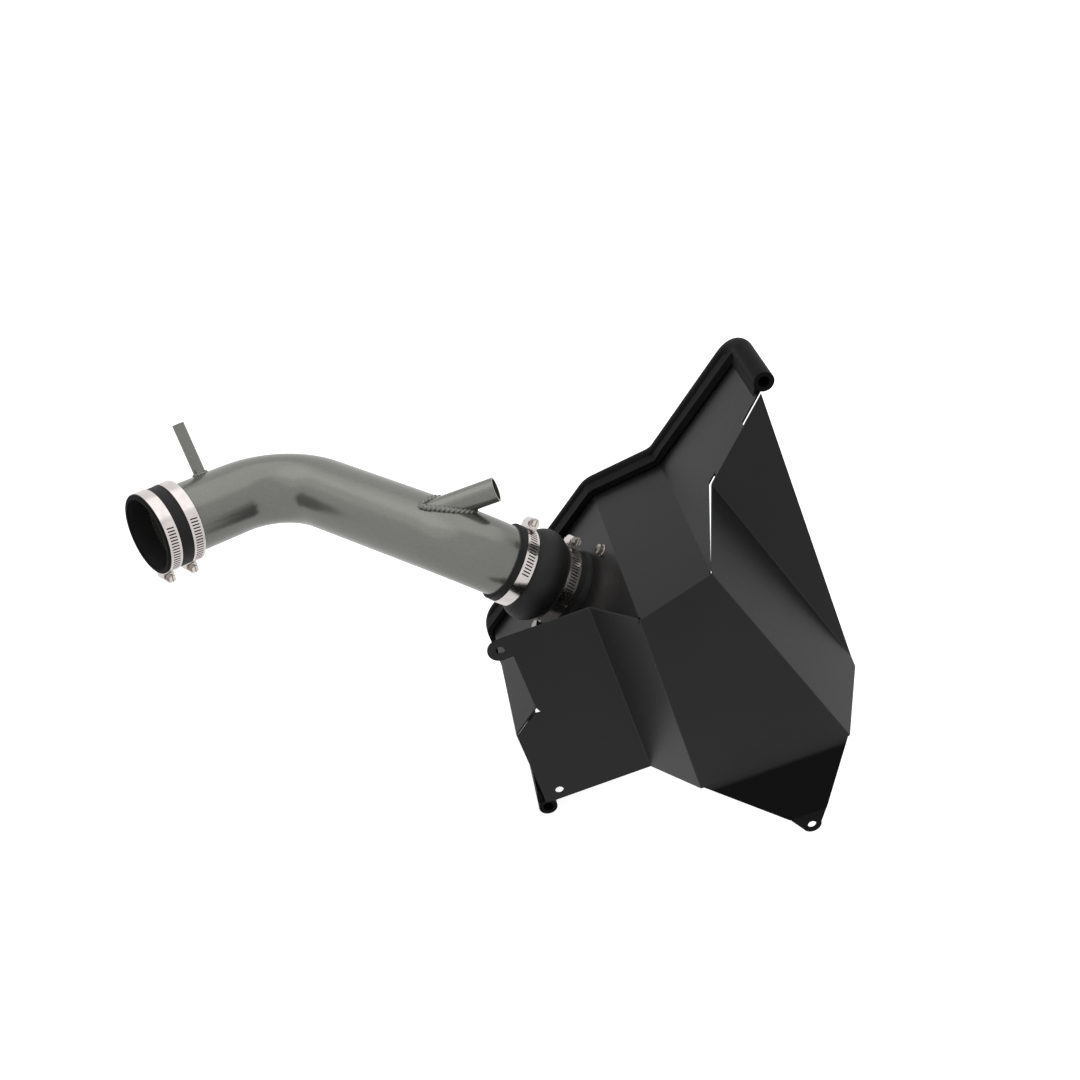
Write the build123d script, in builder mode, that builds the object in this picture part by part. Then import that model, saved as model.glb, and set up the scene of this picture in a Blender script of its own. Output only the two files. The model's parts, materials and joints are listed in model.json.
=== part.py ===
from build123d import *
from math import cos, degrees, hypot, radians, sin
import os

# Air intake: bent pipe, rubber couplers with worm-drive clamps, and a folded sheet heat shield.
# The origin is the centre of the throttle-end mouth. +X runs towards the shield, +Z is up.

# Pipe, its route given by the corners of its centre line
pipe_od = 75.0
pipe_wall = 2.0
bend_radius = 76.2
first_corner = Vector(138.2, 94.1, 0.9)
second_corner = Vector(317.6, -77.5, 6.1)
pipe_start = 24.0

# Small ports on the pipe
vacuum_od = 12.7
vacuum_wall = 1.5
vacuum_station = 80.0
vacuum_length = 57.0
vacuum_tilt = 34.0
breather_od = 25.4
breather_wall = 1.8
breather_end = Vector(353, -59.6, 56.8)
breather_base = Vector(295.5, -53.5, 34.4)
breather_inside = 30.0
weld_size = 3.6

# Rubber couplers
sleeve_wall = 5.8
sleeve_length = 43.0
throttle_step = 1.0
hump_wall = 3.2
hump_length = 76.0
hump_height = 8.3
hump_half_width = 16.0
hump_fillet = 5.0
pipe_in_coupler = 30.0

# Worm-drive clamps
band_width = 13.0
band_thickness = 0.9
slot_pitch = 3.3
slot_count = 17
slot_length = 7.8
slot_width = 1.4
slot_tilt = -5.0
housing_length = 15.0
worm_radius = 3.6
worm_height = 6.2
head_radius = 5.4
head_flange = 1.4
head_height = 4.2
hex_head_radius = 4.1
screw_slot_width = 1.2
screw_slot_depth = 1.4
screw_gap = 0.8
housing_wall = 1.3
throttle_housing_side = Vector(0.02, -0.22, -0.97)
hump_housing_side = Vector(0.46, 0.43, 0.78)

# Folded sheet, measured from the corner where the front panel meets the two upper walls
sheet = 1.6
bend = 2.4
relief_radius = 1.3
slit_depth = 6.5
shield_corner = Vector(464.2, -228.5, 4)
wall_top = (125, 181)
wall_upper_fold = (65, 45)
wall_middle_fold = (0, 0)
wall_lower_fold = (-108, -178)
wall_bottom = (-77, -274)
rear_at_top = 174.5
rear_at_upper_fold = 218.0
rear_at_middle_fold = 240.5
rear_at_lower_fold = 257.5
left_panel_depth = 62.5
right_panel_depth = 85.0
left_fold_slope = -71.6
left_fold_offset = 42.0
right_fold_slope = -53.3
right_fold_offset = 42.6
flange_slope = 18.4
flange_tilt = 35.0
hole_diameter = 9.0
tab_radius = 12.6
upper_tab_hole = (-123.2, -67)
lower_tab_hole = (-62.6, -258.2)
flange_reach = 60.0
foot_hole = (92.5, -66)
foot_radius = 10.0

# Rubber edge trim
trim_radius = 10.0
trim_hole_radius = 5.6
trim_offset = 9.4
leg_thickness = 2.0
trim_bends = [30, 30, 30, 35, 25]
trim_top_start = 92.0
trim_bottom_start = 65.0

# Adapter through the shield wall
adapter_wall = 3.0
spigot_length = 27.0
shoulder_length = 6.3
shoulder_radius = 43.0
flange_radius = 72.0
flange_thickness = 4.0
filter_spigot_length = 38.0
bolt_circle_radius = 61.0
bolt_radius = 3.0
bolt_angles = (10, 100, 190, 280)
hex_radius = 5.6
bolt_head_height = 4.6
washer_radius = 6.2
washer_thickness = 1.2
nut_height = 5.0
bolt_end = 7.0

os.makedirs("parts", exist_ok=True)


def finish(part, name):
    part.part.label = name
    export_step(part.part, f"parts/{name}.step")


def unit(x, z):
    return Vector(x, 0, z).normalized()


# Directions and frames shared by the pieces
first_axis = first_corner.normalized()
lower_run = unit(wall_lower_fold[0] - wall_middle_fold[0], wall_lower_fold[1] - wall_middle_fold[1])
wall_normal = Vector(0, 1, 0).cross(lower_run)
coupler_axis = -wall_normal if wall_normal.X < 0 else wall_normal
wall_distance = (shield_corner - second_corner).dot(coupler_axis)
wall_point = second_corner + coupler_axis * wall_distance
coupler_start = wall_point - coupler_axis * (hump_length + shoulder_length)
front_plane = Plane(origin=shield_corner, x_dir=(1, 0, 0), z_dir=(0, -1, 0))
plan_plane = Plane(origin=shield_corner, x_dir=(1, 0, 0), z_dir=(0, 0, 1))
side_axis = Vector(0, 0, 1).cross(first_axis).normalized()
throttle_plane = Plane(origin=(0, 0, 0), x_dir=side_axis, z_dir=first_axis)
wall_plane = Plane(origin=wall_point, x_dir=lower_run, z_dir=coupler_axis)


def pipe_route():
    with BuildLine() as route:
        FilletPolyline(
            first_axis * pipe_start,
            first_corner,
            second_corner,
            coupler_start + coupler_axis * pipe_in_coupler,
            radius=bend_radius,
        )
    return route.line


route = pipe_route()


def tube_along_route(radius, name_plane):
    with BuildPart() as solid:
        with BuildSketch(name_plane):
            Circle(radius)
        sweep(path=route)
    return solid.part


start_plane = Plane(origin=first_axis * pipe_start, x_dir=side_axis, z_dir=first_axis)
pipe_solid = tube_along_route(pipe_od / 2, start_plane)
pipe_core = tube_along_route(pipe_od / 2 - pipe_wall, start_plane)

# Port axes
up_of_pipe = first_axis.cross(side_axis).normalized()
vacuum_base = first_axis * vacuum_station
vacuum_axis = up_of_pipe * cos(radians(vacuum_tilt)) + side_axis * sin(radians(vacuum_tilt))
vacuum_plane = Plane(origin=vacuum_base, z_dir=vacuum_axis)
vacuum_height = pipe_od / 2 + vacuum_length
breather_axis = (breather_end - breather_base).normalized()
breather_length = (breather_end - breather_base).length + breather_inside
breather_root = breather_base - breather_axis * breather_inside
breather_plane = Plane(origin=breather_root, z_dir=breather_axis)


def cylinder_on(plane, radius, length):
    with BuildPart() as solid:
        with BuildSketch(plane):
            Circle(radius)
        extrude(amount=length)
    return solid.part


# Intake pipe
with BuildPart() as intake_pipe:
    add(pipe_solid)
    add(pipe_core, mode=Mode.SUBTRACT)
    add(cylinder_on(vacuum_plane, vacuum_od / 2 - vacuum_wall, vacuum_height), mode=Mode.SUBTRACT)
    add(cylinder_on(breather_plane, breather_od / 2 - breather_wall, breather_length), mode=Mode.SUBTRACT)
finish(intake_pipe, "intake_pipe")


def make_port(name, plane, radius, wall, length):
    """Open tube that ends on the pipe's outer surface."""
    with BuildPart() as port:
        with BuildSketch(plane):
            Circle(radius)
            Circle(radius - wall, mode=Mode.SUBTRACT)
        extrude(amount=length)
        add(pipe_solid, mode=Mode.SUBTRACT)
    finish(port, name)


def make_weld(name, plane, radius, length):
    """Bead in the corner between a port and the pipe."""
    with BuildPart() as weld:
        with BuildSketch(plane):
            Circle(radius + weld_size)
            Circle(radius, mode=Mode.SUBTRACT)
        extrude(amount=length)
        add(tube_along_route(pipe_od / 2 + weld_size * 0.7, start_plane), mode=Mode.INTERSECT)
        add(pipe_solid, mode=Mode.SUBTRACT)
    finish(weld, name)


make_port("vacuum_port", vacuum_plane, vacuum_od / 2, vacuum_wall, vacuum_height)
make_port("breather_port", breather_plane, breather_od / 2, breather_wall, breather_length)
make_weld("vacuum_weld", vacuum_plane, vacuum_od / 2, vacuum_height)
make_weld("breather_weld", breather_plane, breather_od / 2, breather_length)

# Throttle sleeve
sleeve_radius = pipe_od / 2 + sleeve_wall
with BuildPart() as throttle_sleeve:
    with BuildSketch(throttle_plane):
        Circle(sleeve_radius)
    extrude(amount=sleeve_length)
    fillet(throttle_sleeve.edges().filter_by(GeomType.CIRCLE), 1.2)
    with BuildSketch(throttle_plane):
        Circle(pipe_od / 2)
    extrude(amount=sleeve_length, mode=Mode.SUBTRACT)
    with BuildSketch(throttle_plane):
        Circle(pipe_od / 2 + throttle_step)
    extrude(amount=pipe_start, mode=Mode.SUBTRACT)
finish(throttle_sleeve, "throttle_sleeve")


def hump_side(radius):
    """One side of the hump hose's section: straight, over the hump, straight."""
    middle = hump_length / 2
    with BuildLine() as side:
        near = Line((radius, 0), (radius, middle - hump_half_width))
        over = ThreePointArc(near @ 1, (radius + hump_height, middle), (radius, middle + hump_half_width))
        Line(over @ 1, (radius, hump_length))
        fillet(side.vertices().filter_by_position(Axis.Y, 1, hump_length - 1), hump_fillet)
    return side.line


# Hump coupler between the pipe and the adapter
hose_radius = pipe_od / 2 + hump_wall
section_plane = Plane(origin=coupler_start, x_dir=(0, 1, 0), z_dir=Vector(0, 1, 0).cross(coupler_axis))
with BuildPart() as hump_coupler:
    with BuildSketch(section_plane):
        with BuildLine():
            add(hump_side(pipe_od / 2))
            add(hump_side(hose_radius))
            Line((pipe_od / 2, 0), (hose_radius, 0))
            Line((pipe_od / 2, hump_length), (hose_radius, hump_length))
        make_face()
    revolve(axis=Axis(coupler_start, coupler_axis))
finish(hump_coupler, "hump_coupler")


def make_clamp(name, plane, radius, slot_start):
    """Slotted band, screw housing and hex screw. The plane's x axis points at the housing."""
    outer = radius + band_thickness
    with BuildPart() as band:
        with BuildSketch(plane):
            Circle(outer)
            Circle(radius, mode=Mode.SUBTRACT)
        extrude(amount=band_width / 2, both=True)
        with Locations(plane):
            pitch_angle = degrees(slot_pitch / outer)
            with PolarLocations(radius, slot_count, slot_start, pitch_angle * (slot_count - 1), endpoint=True):
                Box(3, slot_width, slot_length, rotation=(slot_tilt, 0, 0), mode=Mode.SUBTRACT)
    finish(band, f"{name}_band")

    tangent = plane.y_dir
    worm_centre = plane.origin + plane.x_dir * (outer + worm_height)
    worm_plane = Plane(origin=worm_centre - tangent * housing_length / 2, x_dir=plane.x_dir, z_dir=tangent)
    with BuildPart() as housing:
        with BuildSketch(worm_plane):
            with Locations((-worm_height / 2 - 0.5, 0)):
                Rectangle(worm_height + 1.0, band_width - 1.0)
            Circle(worm_radius + housing_wall)
            Circle(worm_radius, mode=Mode.SUBTRACT)
        extrude(amount=housing_length)
        with BuildSketch(plane):
            Circle(outer)
        extrude(amount=band_width, both=True, mode=Mode.SUBTRACT)
    finish(housing, f"{name}_housing")

    head_plane = worm_plane.offset(housing_length)
    with BuildPart() as screw:
        with BuildSketch(worm_plane):
            Circle(worm_radius)
        extrude(amount=housing_length + screw_gap)
        with BuildSketch(head_plane.offset(screw_gap)):
            Circle(head_radius)
        extrude(amount=head_flange)
        with BuildSketch(head_plane.offset(screw_gap + head_flange)):
            RegularPolygon(hex_head_radius, 6)
        extrude(amount=head_height)
        with BuildSketch(head_plane.offset(screw_gap + head_flange + head_height)):
            Rectangle(2 * hex_head_radius, screw_slot_width)
        extrude(amount=-screw_slot_depth, mode=Mode.SUBTRACT)
    finish(screw, f"{name}_screw")


# Clamps: the housings sit under the throttle sleeve and over the hump coupler
def clamp_plane(origin, axis, side):
    return Plane(origin=origin, x_dir=(side - axis * side.dot(axis)).normalized(), z_dir=axis)


throttle_stations = (band_width / 2 + 2.0, sleeve_length - band_width / 2 - 1.3)
hump_stations = (band_width / 2 + 6.0, hump_length - band_width / 2 - 6.5)
for number, station in enumerate(throttle_stations, start=1):
    place = clamp_plane(first_axis * station, -first_axis, throttle_housing_side)
    make_clamp(f"clamp_{number}", place, sleeve_radius, 40)
for number, station in enumerate(hump_stations, start=3):
    place = clamp_plane(coupler_start + coupler_axis * station, coupler_axis, hump_housing_side)
    make_clamp(f"clamp_{number}", place, hose_radius, 22)

# Adapter: spigot for the coupler, shoulder through the wall, inner flange and filter spigot
adapter_plane = Plane(origin=wall_point, x_dir=(0, 1, 0), z_dir=Vector(0, 1, 0).cross(coupler_axis))
spigot_start = -(shoulder_length + spigot_length)
shoulder_start = -shoulder_length
with BuildPart() as filter_adapter:
    with BuildSketch(adapter_plane):
        with BuildLine():
            Polyline(
                (pipe_od / 2 - adapter_wall, spigot_start),
                (pipe_od / 2, spigot_start),
                (pipe_od / 2, shoulder_start),
                (shoulder_radius, shoulder_start),
                (shoulder_radius, sheet),
                (flange_radius, sheet),
                (flange_radius, sheet + flange_thickness),
                (shoulder_radius, sheet + flange_thickness),
                (shoulder_radius, sheet + flange_thickness + filter_spigot_length),
                (shoulder_radius - adapter_wall, sheet + flange_thickness + filter_spigot_length),
                (pipe_od / 2 - adapter_wall, shoulder_start),
                close=True,
            )
        make_face()
    revolve(axis=Axis(wall_point, coupler_axis))
    with BuildSketch(wall_plane):
        for angle in bolt_angles:
            with Locations((bolt_circle_radius * cos(radians(angle)), bolt_circle_radius * sin(radians(angle)))):
                Circle(bolt_radius)
    extrude(amount=sheet + flange_thickness, mode=Mode.SUBTRACT)
finish(filter_adapter, "filter_adapter")


def bolt_places(plane_offset):
    for angle in bolt_angles:
        x = bolt_circle_radius * cos(radians(angle))
        y = bolt_circle_radius * sin(radians(angle))
        yield Plane(origin=wall_plane.offset(plane_offset).from_local_coords(Vector(x, y, 0)),
                    x_dir=wall_plane.x_dir, z_dir=coupler_axis)


# Bolts and washers outside the wall, nuts inside it
with BuildPart() as adapter_bolts:
    for place in bolt_places(0):
        with BuildSketch(place.offset(-washer_thickness)):
            Circle(washer_radius)
        extrude(amount=washer_thickness)
        with BuildSketch(place.offset(-washer_thickness)):
            RegularPolygon(hex_radius, 6)
        extrude(amount=-bolt_head_height)
        with BuildSketch(place):
            Circle(bolt_radius)
        extrude(amount=sheet + flange_thickness + bolt_end)
finish(adapter_bolts, "adapter_bolts")

with BuildPart() as adapter_nuts:
    for place in bolt_places(sheet + flange_thickness):
        with BuildSketch(place):
            RegularPolygon(hex_radius, 6)
            Circle(bolt_radius, mode=Mode.SUBTRACT)
        extrude(amount=nut_height)
finish(adapter_nuts, "adapter_nuts")

# Heat shield
wall_corners = [wall_top, wall_upper_fold, wall_middle_fold, wall_lower_fold, wall_bottom]
everywhere = 400.0


def past(end, inner, reach):
    """The point that lies past the end of a line, on the line."""
    length = hypot(end[0] - inner[0], end[1] - inner[1])
    return (end[0] + (end[0] - inner[0]) * reach / length, end[1] + (end[1] - inner[1]) * reach / length)


def wall_band(outside, thickness, reach):
    """The walls' folded profile, swept across the whole depth of the shield."""
    corners = [past(wall_top, wall_upper_fold, reach), *wall_corners[1:-1], past(wall_bottom, wall_lower_fold, reach)]
    with BuildLine(front_plane) as outer_line:
        FilletPolyline(*corners, radius=bend)
        if outside:
            offset(amount=outside, side=Side.RIGHT, closed=False, mode=Mode.REPLACE)
    with BuildPart() as band:
        with BuildSketch(front_plane):
            with BuildLine():
                add(front_plane.to_local_coords(outer_line.line))
                offset(amount=thickness, side=Side.LEFT)
            make_face()
        extrude(amount=-everywhere)
    return band.part


gap = 1.0
left_along = Vector(cos(radians(left_fold_slope)), sin(radians(left_fold_slope)))
right_along = Vector(cos(radians(right_fold_slope)), sin(radians(right_fold_slope)))
flange_along = Vector(cos(radians(flange_slope)), sin(radians(flange_slope)))
right_fold_start = Vector(*wall_upper_fold)
flange_start = Vector(73.5, -218)


def in_space(flat):
    return Vector(flat.X, 0, flat.Y)


def folded_front(start, across, corners, outline):
    """Front panels folded along parallel lines, cut to their outline."""
    profile_plane = Plane(origin=front_plane.from_local_coords(start), x_dir=in_space(across),
                          z_dir=in_space(across).cross(Vector(0, 1, 0)))
    with BuildPart() as panels:
        with BuildSketch(profile_plane):
            with BuildLine():
                FilletPolyline(*corners, radius=bend)
                offset(amount=sheet, side=Side.LEFT)
            make_face()
        extrude(amount=everywhere, both=True)
        extrude(outline, amount=everywhere, both=True, mode=Mode.INTERSECT)
    return panels.part


# Outlines of the front panels, seen square on
with BuildSketch(front_plane) as left_outline:
    with BuildLine():
        Polyline(
            (0, 0),
            (-35.7, -25.5),
            (-127.8, -55),
            (-120.2, -79),
            (-109.8, -75.5),
            (-87.8, -143.1),
            (-82.5, -150),
            (-88.5, -151),
            (-106, -178),
            (-77, -274),
            (-66.9, -272.2),
            (33.8, -239),
            (73.5, -218),
            (120, -202.5),
            (32.5, 22.5),
            close=True,
        )
    make_face()
    with Locations(upper_tab_hole):
        Circle(tab_radius)

with BuildSketch(front_plane) as right_outline:
    with BuildLine():
        Polyline(
            (65, 45),
            (84, 87.6),
            (125, 181),
            (255.2, -143.8),
            (224, -168),
            (190, -179),
            (32.5, 22.5),
            close=True,
        )
    make_face()

with BuildSketch(front_plane) as front_outline:
    with BuildLine():
        Polyline((6.5, 4.5), (58.5, 40.5), (205, -165), (80, -206), close=True)
    make_face()

flange_plane = Plane(origin=front_plane.from_local_coords(flange_start), x_dir=in_space(flange_along), z_dir=(0, -1, 0))
with BuildSketch(flange_plane) as flange_outline:
    with BuildLine():
        Polyline(
            (2, 15),
            (150, 15),
            (156.6, 0),
            (111, -50),
            (102, -67),
            (84, -71),
            (73, -50),
            (2, 0),
            close=True,
        )
    make_face()
    with Locations(foot_hole):
        Circle(foot_radius)

left_panels = folded_front(
    Vector(0, 0), Vector(left_along.Y, -left_along.X),
    [(-150, 0), (0, 0), (left_fold_offset, left_panel_depth), (220, left_panel_depth)], left_outline.sketch)
right_panels = folded_front(
    right_fold_start, Vector(-right_along.Y, right_along.X),
    [(-150, 0), (0, 0), (right_fold_offset, right_panel_depth), (260, right_panel_depth)], right_outline.sketch)
flange_down = flange_reach * cos(radians(flange_tilt))
flange_out = flange_reach * sin(radians(flange_tilt))
flange_panels = folded_front(
    flange_start, Vector(flange_along.Y, -flange_along.X),
    [(-40, 0), (0, 0), (flange_down, -flange_out), (flange_down + 60, -flange_out)], flange_outline.sketch)

# Walls, cut to their front and rear edges as seen from above
with BuildSketch(plan_plane) as wall_plan:
    with BuildLine():
        Polyline(
            (-115, left_panel_depth + sheet + gap),
            (-27, left_panel_depth + sheet + gap),
            (-1, 4),
            (0, 0),
            (65, 0),
            (65.8, slit_depth),
            (84, right_panel_depth + slit_depth),
            (88.5, right_panel_depth + slit_depth),
            (88.5, right_panel_depth),
            (111, right_panel_depth),
            (111, right_panel_depth + slit_depth),
            (130, right_panel_depth + slit_depth),
            (130, rear_at_top - 3.6),
            (65, rear_at_upper_fold),
            (0, rear_at_middle_fold),
            (-115, rear_at_lower_fold + 1),
            close=True,
        )
    make_face()

# Route of the trim's bulb: along the top edge, round the rear edge, back along the bottom edge
top_out = trim_offset / hypot(60, 136)
bottom_out = trim_offset / hypot(31, 96)
bulb_top = (wall_top[0] + 60 * top_out, wall_top[1] + 136 * top_out)
bulb_bottom = (wall_bottom[0] + 31 * bottom_out, wall_bottom[1] - 96 * bottom_out)


def rear_point(corner, depth):
    return shield_corner + Vector(corner[0], depth + trim_offset, corner[1])


bulb_points = [
    rear_point(bulb_top, trim_top_start - trim_offset),
    rear_point(bulb_top, rear_at_top),
    rear_point(wall_upper_fold, rear_at_upper_fold),
    rear_point(wall_middle_fold, rear_at_middle_fold),
    rear_point(wall_lower_fold, rear_at_lower_fold),
    rear_point(bulb_bottom, rear_at_lower_fold - 5),
    rear_point(bulb_bottom, trim_bottom_start - trim_offset),
]
with BuildLine() as bulb_route:
    FilletPolyline(*bulb_points, radius=trim_bends)


def bulb(radius):
    with BuildPart() as solid:
        with BuildSketch(Plane(origin=bulb_points[0], x_dir=(1, 0, 0), z_dir=(0, 1, 0))):
            Circle(radius)
        sweep(path=bulb_route.line)
    return solid.part


bulb_outer = bulb(trim_radius)
bulb_inner = bulb(trim_hole_radius)

with BuildPart() as heat_shield:
    add(wall_band(0, sheet, 0))
    extrude(wall_plan.sketch, amount=everywhere, both=True, mode=Mode.INTERSECT)
    add(left_panels)
    add(right_panels)
    add(flange_panels)
    extrude(front_outline.sketch, amount=-sheet)
    add(bulb_outer, mode=Mode.SUBTRACT)
    with BuildSketch(front_plane):
        with Locations(upper_tab_hole, lower_tab_hole):
            Circle(hole_diameter / 2)
    extrude(amount=-everywhere, mode=Mode.SUBTRACT)
    with BuildSketch(front_plane):
        with Locations(wall_middle_fold, wall_upper_fold):
            Circle(relief_radius)
    extrude(amount=-2 * bend, mode=Mode.SUBTRACT)
    with BuildSketch(flange_plane):
        with Locations(foot_hole):
            Circle(hole_diameter / 2)
    extrude(amount=everywhere, mode=Mode.SUBTRACT)
    with BuildSketch(wall_plane.offset(-5)):
        Circle(shoulder_radius)
        for angle in bolt_angles:
            with Locations((bolt_circle_radius * cos(radians(angle)), bolt_circle_radius * sin(radians(angle)))):
                Circle(bolt_radius)
    extrude(amount=20, mode=Mode.SUBTRACT)
finish(heat_shield, "heat_shield")

# Where the trim's clip legs lie along the wall edges
with BuildPart() as leg_zone:
    with BuildSketch(plan_plane):
        with BuildLine():
            Polyline(
                (128, rear_at_top - 15),
                (65, rear_at_upper_fold - 13),
                (0, rear_at_middle_fold - 13),
                (-115, rear_at_lower_fold - 12),
                (-115, rear_at_lower_fold + 4),
                (0, rear_at_middle_fold + 3),
                (65, rear_at_upper_fold + 3),
                (128, rear_at_top + 1),
                close=True,
            )
        make_face()
        with Locations((124, (rear_at_top + trim_top_start) / 2)):
            Rectangle(8, rear_at_top - trim_top_start)
    extrude(amount=everywhere, both=True)
    with BuildSketch(front_plane.offset(-left_panel_depth - 4)):
        with Locations((-78, -270)):
            Rectangle(16, 16)
    extrude(amount=-(rear_at_lower_fold - left_panel_depth))

with BuildPart() as edge_trim:
    add(wall_band(leg_thickness, sheet + 2 * leg_thickness, 3))
    add(leg_zone.part, mode=Mode.INTERSECT)
    add(bulb_outer)
    add(bulb_inner, mode=Mode.SUBTRACT)
    add(heat_shield.part, mode=Mode.SUBTRACT)
finish(edge_trim, "edge_trim")
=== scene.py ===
import bpy
import json
from math import cos, floor as whole, pi, radians, sin
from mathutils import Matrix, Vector
from mathutils.bvhtree import BVHTree


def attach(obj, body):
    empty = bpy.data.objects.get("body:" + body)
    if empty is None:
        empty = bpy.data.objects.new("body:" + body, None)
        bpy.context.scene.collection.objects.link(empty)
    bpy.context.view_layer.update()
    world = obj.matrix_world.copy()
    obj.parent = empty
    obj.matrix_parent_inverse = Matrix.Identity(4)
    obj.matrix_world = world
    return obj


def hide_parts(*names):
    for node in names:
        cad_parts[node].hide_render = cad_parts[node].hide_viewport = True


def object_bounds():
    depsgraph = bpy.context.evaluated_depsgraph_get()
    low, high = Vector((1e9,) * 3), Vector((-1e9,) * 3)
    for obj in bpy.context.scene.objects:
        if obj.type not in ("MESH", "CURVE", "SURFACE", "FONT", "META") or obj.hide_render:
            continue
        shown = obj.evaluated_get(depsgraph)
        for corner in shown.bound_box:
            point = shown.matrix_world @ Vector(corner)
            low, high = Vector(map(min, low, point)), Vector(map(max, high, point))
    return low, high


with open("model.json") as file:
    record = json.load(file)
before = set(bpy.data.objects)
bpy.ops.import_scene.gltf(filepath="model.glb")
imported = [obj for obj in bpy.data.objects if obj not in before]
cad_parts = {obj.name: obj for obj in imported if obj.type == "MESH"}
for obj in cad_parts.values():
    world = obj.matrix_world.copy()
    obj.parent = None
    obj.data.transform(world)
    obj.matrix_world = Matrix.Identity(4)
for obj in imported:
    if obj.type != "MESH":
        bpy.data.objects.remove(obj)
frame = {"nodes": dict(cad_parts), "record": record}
cad_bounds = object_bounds()
nodes = frame["nodes"]

# The pipe and its two ports as in the part's source, in metres from the pipe's mouth
pipe_radius = 0.0375
first_corner = Vector((0.1382, 0.0941, 0.0009))
vacuum_radius = 0.00635
vacuum_station = 0.080
vacuum_length = 0.057
vacuum_tilt = radians(34)
breather_radius = 0.0127
breather_end = Vector((0.353, -0.0596, 0.0568))
breather_base = Vector((0.2955, -0.0535, 0.0344))
first_axis = first_corner.normalized()
side_axis = Vector((0, 0, 1)).cross(first_axis).normalized()
vacuum_axis = first_axis.cross(side_axis) * cos(vacuum_tilt) + side_axis * sin(vacuum_tilt)
vacuum_end = first_axis * vacuum_station + vacuum_axis * (pipe_radius + vacuum_length)
breather_axis = (breather_end - breather_base).normalized()


# Materials
class Graph:
    """Short calls for building a node material."""

    def __init__(self, name):
        self.material = bpy.data.materials.new(name)
        self.material.use_nodes = True
        self.tree = self.material.node_tree
        self.shader = self.tree.nodes["Principled BSDF"]
        self.coords = self.tree.nodes.new("ShaderNodeTexCoord").outputs["Object"]

    def node(self, kind, inputs=None, **settings):
        made = self.tree.nodes.new(kind)
        for key, value in settings.items():
            setattr(made, key, value)
        for key, value in (inputs or {}).items():
            self.put(made, key, value)
        return made

    def put(self, node, key, value):
        if isinstance(value, bpy.types.NodeSocket):
            self.tree.links.new(value, node.inputs[key])
        else:
            node.inputs[key].default_value = value

    def noise(self, scale, detail=3.0, roughness=0.55):
        inputs = {"Vector": self.coords, "Scale": scale, "Detail": detail, "Roughness": roughness}
        return self.node("ShaderNodeTexNoise", inputs).outputs["Fac"]

    def cells(self, scale):
        return self.node("ShaderNodeTexVoronoi", {"Vector": self.coords, "Scale": scale}).outputs

    def span(self, value, low, high, to_low=0.0, to_high=1.0):
        inputs = {"Value": value, "From Min": low, "From Max": high, "To Min": to_low, "To Max": to_high}
        return self.node("ShaderNodeMapRange", inputs).outputs["Result"]

    def math(self, operation, a, b):
        return self.node("ShaderNodeMath", {0: a, 1: b}, operation=operation).outputs["Value"]

    def mix(self, factor, a, b):
        return self.node("ShaderNodeMix", {"Factor": factor, 6: a, 7: b}, data_type="RGBA").outputs[2]

    def bump(self, height, distance, strength, normal=None):
        made = self.node("ShaderNodeBump", {"Height": height, "Distance": distance, "Strength": strength})
        if normal:
            self.put(made, "Normal", normal)
        return made.outputs["Normal"]

    def set(self, **values):
        for key, value in values.items():
            self.put(self.shader, key.replace("_", " "), value)


def grey(value):
    return (value, value, value, 1.0)


def pipe_coat():
    """Satin grey metallic coat, faintly warm, with small bright flakes."""
    g = Graph("pipe_coat")
    grain = g.noise(1400, 2.0)
    cloud = g.noise(22, 4.0)
    glint = g.span(g.cells(1500)["Color"], 0.83, 0.97)
    base = g.mix(g.span(grain, 0.35, 0.65), (0.164, 0.166, 0.150, 1), (0.220, 0.223, 0.202, 1))
    base = g.mix(g.math("MULTIPLY", glint, 0.35), base, (0.40, 0.40, 0.375, 1))
    base = g.mix(g.span(cloud, 0.3, 0.7, 0.0, 0.16), base, (0.14, 0.144, 0.13, 1))
    g.set(Base_Color=base, Metallic=0.7, IOR=1.5)
    g.set(Roughness=g.span(grain, 0.3, 0.7, 0.17, 0.27))
    g.set(Normal=g.bump(g.noise(1000, 2.0), 0.00010, 0.5))
    return g.material


def rubber():
    """Matt black hose rubber with a fine grain."""
    g = Graph("rubber")
    grain = g.noise(900, 3.0)
    base = g.mix(g.span(g.noise(45, 3.0), 0.3, 0.7), grey(0.010), grey(0.015))
    # The cut face at the mouth is darker and more matt than the moulded outside
    moulded_from = 0.0016
    cut_up_to = 0.0008
    along = g.node("ShaderNodeVectorMath", {0: g.coords, 1: first_axis}, operation="DOT_PRODUCT")
    cut = g.span(along.outputs["Value"], moulded_from, cut_up_to)
    base = g.mix(cut, base, grey(0.005))
    g.set(Base_Color=base, IOR=1.5, Specular_IOR_Level=g.span(cut, 0.0, 1.0, 0.25, 0.05))
    g.set(Roughness=g.span(grain, 0.3, 0.7, 0.52, 0.68))
    g.set(Normal=g.bump(grain, 0.00012, 0.6))
    return g.material


def clamp_steel():
    """Rolled stainless band with a faintly warm cast."""
    g = Graph("clamp_steel")
    grain = g.noise(700, 4.0)
    cloud = g.span(g.noise(120, 3.0), 0.3, 0.7)
    base = g.mix(cloud, (0.60, 0.555, 0.54, 1), (0.70, 0.65, 0.63, 1))
    g.set(Base_Color=base, Metallic=1.0)
    g.set(Roughness=g.span(grain, 0.3, 0.7, 0.15, 0.23))
    g.set(Normal=g.bump(grain, 0.00003, 0.4))
    return g.material


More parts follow.
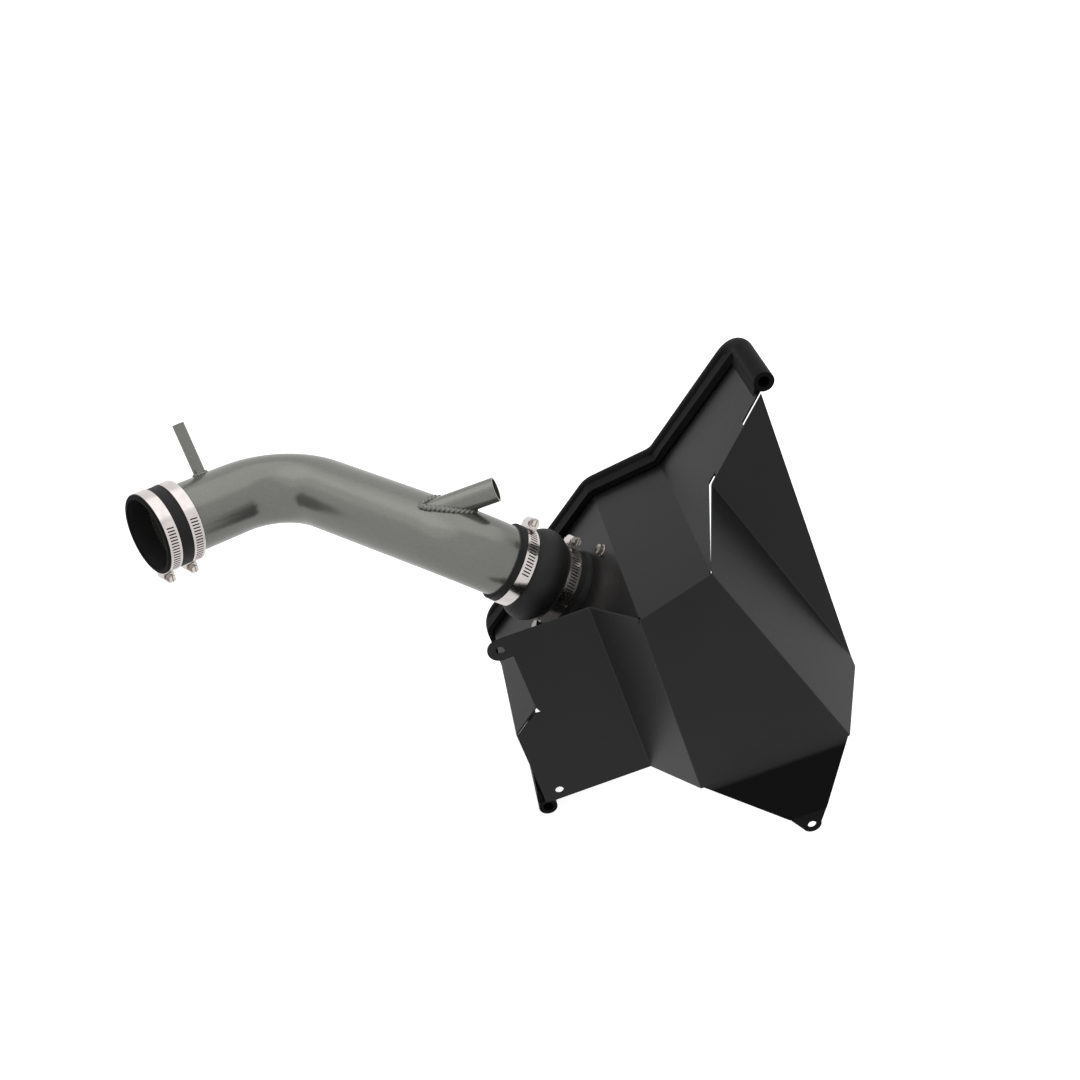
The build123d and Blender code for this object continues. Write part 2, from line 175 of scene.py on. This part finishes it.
def screw_steel():
    """Bright plated steel with a warm cast, with painted shade on the sides that turn away from the view.
    """
    g = Graph("screw_steel")
    grain = g.noise(900, 3.0)
    cloud = g.span(g.noise(160, 3.0), 0.35, 0.65)
    base = g.mix(cloud, (0.60, 0.55, 0.52, 1), (0.72, 0.67, 0.635, 1))
    # Painted shade: the base colour turns dark brown-grey on the sides that turn away from the view
    facing = g.node("ShaderNodeLayerWeight", {"Blend": 0.5}).outputs["Facing"]
    base = g.mix(g.span(facing, 0.3, 0.7), base, (0.20, 0.18, 0.165, 1))
    g.set(Base_Color=base, Metallic=1.0)
    g.set(Roughness=g.span(grain, 0.3, 0.7, 0.08, 0.18))
    g.set(Normal=g.bump(grain, 0.00004, 0.4))
    return g.material


def adapter_plastic():
    """Moulded black nylon."""
    g = Graph("adapter_plastic")
    grain = g.noise(1300, 2.0)
    base = g.mix(g.span(g.noise(30, 3.0), 0.3, 0.7), grey(0.014), grey(0.021))
    g.set(Base_Color=base, IOR=1.5)
    g.set(Roughness=g.span(grain, 0.3, 0.7, 0.40, 0.52))
    g.set(Normal=g.bump(grain, 0.00008, 0.5))
    return g.material


def shield_coat():
    """Satin black powder coat with a fine orange peel, with painted shade on the forward flange."""
    g = Graph("shield_coat")
    peel = g.noise(420, 2.0, 0.4)
    grain = g.noise(1700, 2.0)
    base = g.mix(g.span(g.noise(9, 3.0), 0.3, 0.7), grey(0.0075), grey(0.010))
    # The flange is folded forwards of the front panels; painted shade makes its coat darker and less
    # shiny there, so that it is the darkest face of the shield
    panels_from = -0.2300
    flange_up_to = -0.2325
    depth = g.node("ShaderNodeSeparateXYZ", {"Vector": g.coords}).outputs["Y"]
    flange_painted_shade = g.span(depth, panels_from, flange_up_to)
    base = g.mix(flange_painted_shade, base, grey(0.0035))
    g.set(Base_Color=base, IOR=1.5, Specular_IOR_Level=g.span(flange_painted_shade, 0.0, 1.0, 0.22, 0.05))
    g.set(Roughness=g.span(grain, 0.3, 0.7, 0.30, 0.40))
    fine = g.bump(grain, 0.00004, 0.5)
    g.set(Normal=g.bump(peel, 0.00016, 0.55, fine))
    return g.material


def trim_rubber():
    """Foamed rubber with tiny pores."""
    g = Graph("trim_rubber")
    pores = g.span(g.cells(1500)["Distance"], 0.0, 0.35)
    base = g.mix(g.span(g.noise(60, 3.0), 0.3, 0.7), grey(0.003), grey(0.0055))
    g.set(Base_Color=base, IOR=1.45, Roughness=0.5, Specular_IOR_Level=0.06)
    g.set(Normal=g.bump(pores, 0.00008, 0.5))
    return g.material


materials = {
    "pipe_coat": pipe_coat(),
    "rubber": rubber(),
    "clamp_steel": clamp_steel(),
    "screw_steel": screw_steel(),
    "adapter_plastic": adapter_plastic(),
    "shield_coat": shield_coat(),
    "trim_rubber": trim_rubber(),
}
slot_of = {part["node"]: part["material_slot"] for part in frame["record"]["subparts"]}
for name, thing in nodes.items():
    for index in range(len(thing.material_slots)):
        thing.material_slots[index].material = materials[slot_of[name]]

# Weld beads, whose thickness and lift are shares of the bead's radius
foot_steps = 720
ripple_rings = 12
ring_corners = 14
ripple_low = 0.66
ripple_rise = 0.44
ripple_crest = 0.4
ripple_slant = 0.55
ripple_variety = 0.05
variety_turn = 2.4
bead_lift = 0.12
breather_bead_radius = 0.0034
breather_ripple = 0.0046
vacuum_bead_radius = 0.0020
vacuum_ripple = 0.0028


def port_foot(end, axis, tube_radius):
    """Place, normal of the pipe and direction away from the port, at each step round its foot."""
    pipe = nodes["intake_pipe"]
    points = [pipe.matrix_world @ vertex.co for vertex in pipe.data.vertices]
    tree = BVHTree.FromPolygons(points, [polygon.vertices for polygon in pipe.data.polygons])
    across = axis.orthogonal().normalized()
    along = axis.cross(across)
    foot = []
    for step in range(foot_steps):
        turn = 2 * pi * step / foot_steps
        outward = across * cos(turn) + along * sin(turn)
        place, normal, _, _ = tree.ray_cast(end + outward * tube_radius, -axis)
        foot.append((place, normal, outward))
    return foot


def ripple_size(phase, count):
    """Thickness of the bead at a place in its ripples, each ripple a little different."""
    number = whole(phase)
    wave = phase - number
    swell = 1 - (2 * (wave - ripple_crest)) ** 2
    variety = sin(variety_turn * (number % count))
    return ripple_low + ripple_rise * swell + ripple_variety * variety


def bead_points(foot, bead_radius, ripple):
    """Corners of the bead's rings, a whole number of ripples round the foot."""
    lengths = [0.0]
    for step in range(foot_steps):
        lengths.append(lengths[-1] + (foot[(step + 1) % foot_steps][0] - foot[step][0]).length)
    count = round(lengths[-1] / ripple)
    rings = count * ripple_rings
    points = []
    step = 0
    for ring in range(rings):
        travelled = lengths[-1] * ring / rings
        while lengths[step + 1] < travelled:
            step += 1
        part = (travelled - lengths[step]) / (lengths[step + 1] - lengths[step])
        here = foot[step]
        after = foot[(step + 1) % foot_steps]
        place, normal, outward = (first.lerp(second, part) for first, second in zip(here, after))
        rise = (normal + outward).normalized()
        forward = (after[0] - here[0]).normalized()
        side = forward.cross(rise).normalized()
        for corner in range(ring_corners):
            turn = 2 * pi * corner / ring_corners
            size = ripple_size(ring / ripple_rings + ripple_slant * sin(turn), count)
            offset = (rise * cos(turn) + side * sin(turn)) * bead_radius * size
            points.append(place + offset + rise * bead_radius * bead_lift)
    return points


def ring_faces(rings):
    """Faces from each ring to the next, and from the last ring to the first."""
    faces = []
    for ring in range(rings):
        here = ring * ring_corners
        after = (ring + 1) % rings * ring_corners
        for corner in range(ring_corners):
            beside = (corner + 1) % ring_corners
            faces.append((here + corner, here + beside, after + beside, after + corner))
    return faces


def weld_bead(name, end, axis, tube_radius, bead_radius, ripple):
    """Rippled bead laid round the foot of a port, where the port's outside meets the pipe."""
    points = bead_points(port_foot(end, axis, tube_radius), bead_radius, ripple)
    mesh = bpy.data.meshes.new(name)
    mesh.from_pydata(points, [], ring_faces(len(points) // ring_corners))
    mesh.shade_smooth()
    mesh.materials.append(materials["pipe_coat"])
    bead = bpy.data.objects.new(name, mesh)
    bpy.context.collection.objects.link(bead)
    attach(bead, "root")
    return bead


breather_bead = weld_bead(
    "breather_bead", breather_end, breather_axis, breather_radius, breather_bead_radius, breather_ripple
)
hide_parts("breather_weld")
vacuum_bead = weld_bead(
    "vacuum_bead", vacuum_end, vacuum_axis, vacuum_radius, vacuum_bead_radius, vacuum_ripple
)
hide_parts("vacuum_weld")

# Soft edges on the hard parts
edge_widths = {
    "heat_shield": 0.00035,
    "intake_pipe": 0.0004,
    "vacuum_port": 0.0003,
    "breather_port": 0.0004,
    "adapter_bolts": 0.0004,
    "adapter_nuts": 0.0003,
}
for number in range(1, 5):
    edge_widths[f"clamp_{number}_band"] = 0.0002
    edge_widths[f"clamp_{number}_housing"] = 0.0005
    edge_widths[f"clamp_{number}_screw"] = 0.0004
for name, width in edge_widths.items():
    bevel = nodes[name].modifiers.new("edge", "BEVEL")
    bevel.width = width
    bevel.segments = 2
    bevel.limit_method = "ANGLE"
    bevel.angle_limit = radians(35)
    bevel.harden_normals = True

# Floor: white with the object's shadow to the camera, plain white in reflections, pale to other light
floor_gap = 0.0005
floor_reach = 40.0
floor_grey = 0.8
camera_glow = 0.75
mirror_glow = 1.0
floor_height = cad_bounds[0][2] - floor_gap
floor_signs = ((-1, -1), (1, -1), (1, 1), (-1, 1))
floor_corners = [(x * floor_reach, y * floor_reach, floor_height) for x, y in floor_signs]
floor_mesh = bpy.data.meshes.new("floor")
floor_mesh.from_pydata(floor_corners, [], [(0, 1, 2, 3)])
floor = bpy.data.objects.new("floor", floor_mesh)
bpy.context.collection.objects.link(floor)
floor_graph = Graph("floor")
floor_graph.set(Base_Color=grey(floor_grey), Roughness=1.0, Specular_IOR_Level=0.0)
rays = floor_graph.node("ShaderNodeLightPath").outputs
pale = floor_graph.shader.outputs[0]
glow = floor_graph.node("ShaderNodeEmission", {"Color": grey(1), "Strength": camera_glow}).outputs[0]
white = floor_graph.node("ShaderNodeEmission", {"Color": grey(1), "Strength": mirror_glow}).outputs[0]
lit = floor_graph.node("ShaderNodeAddShader", {0: pale, 1: glow}).outputs[0]
mirrored = floor_graph.math("MAXIMUM", rays["Is Glossy Ray"], rays["Is Transmission Ray"])
unseen = floor_graph.node("ShaderNodeMixShader", {0: mirrored, 1: pale, 2: white}).outputs[0]
chosen = floor_graph.node("ShaderNodeMixShader", {0: rays["Is Camera Ray"], 1: unseen, 2: lit}).outputs[0]
floor_graph.put(floor_graph.tree.nodes["Material Output"], "Surface", chosen)
floor_mesh.materials.append(floor_graph.material)

# World: white to the camera and in reflections, a soft grey studio to everything else
studio_level = 0.65
white_level = 1.0
world = bpy.data.worlds.new("studio")
bpy.context.scene.world = world
world.use_nodes = True
tree = world.node_tree
tree.nodes.clear()
output = tree.nodes.new("ShaderNodeOutputWorld")
path = tree.nodes.new("ShaderNodeLightPath")
level = tree.nodes.new("ShaderNodeMix")
level.inputs["A"].default_value = studio_level
level.inputs["B"].default_value = white_level
seen = path.outputs["Is Camera Ray"]
for kind in ("Is Glossy Ray", "Is Transmission Ray"):
    either = tree.nodes.new("ShaderNodeMath")
    either.operation = "MAXIMUM"
    tree.links.new(seen, either.inputs[0])
    tree.links.new(path.outputs[kind], either.inputs[1])
    seen = either.outputs[0]
tree.links.new(seen, level.inputs["Factor"])
sky = tree.nodes.new("ShaderNodeBackground")
sky.inputs["Color"].default_value = grey(1)
tree.links.new(level.outputs["Result"], sky.inputs["Strength"])
tree.links.new(sky.outputs[0], output.inputs["Surface"])


# Lamps
def softbox(name, place, target, size, power):
    """Rectangular lamp at a place, turned towards its target."""
    data = bpy.data.lights.new(name, "AREA")
    data.shape = "RECTANGLE"
    data.size, data.size_y = size
    data.energy = power
    lamp = bpy.data.objects.new(name, data)
    bpy.context.collection.objects.link(lamp)
    lamp.location = place
    lamp.rotation_euler = (Vector(target) - Vector(place)).to_track_quat("-Z", "Y").to_euler()


softbox("key", place=(-1.8, -0.3, 2.9), target=(0.35, -0.05, 0.0), size=(4.2, 3.2), power=14)
softbox("top", place=(0.3, 0.55, 2.6), target=(0.3, 0.0, 0.0), size=(4.8, 3.0), power=22)

# Camera
camera_data = bpy.data.cameras.new("camera")
camera_data.lens = 45.0
camera_data.sensor_width = 36.0
camera = bpy.data.objects.new("camera", camera_data)
bpy.context.collection.objects.link(camera)
camera.location = (0.2178, -1.2140, 0.7349)
camera.rotation_euler = (radians(57.57), 0.0, radians(-8.83))
bpy.context.scene.camera = camera

bpy.context.scene.view_settings.view_transform = "Standard"
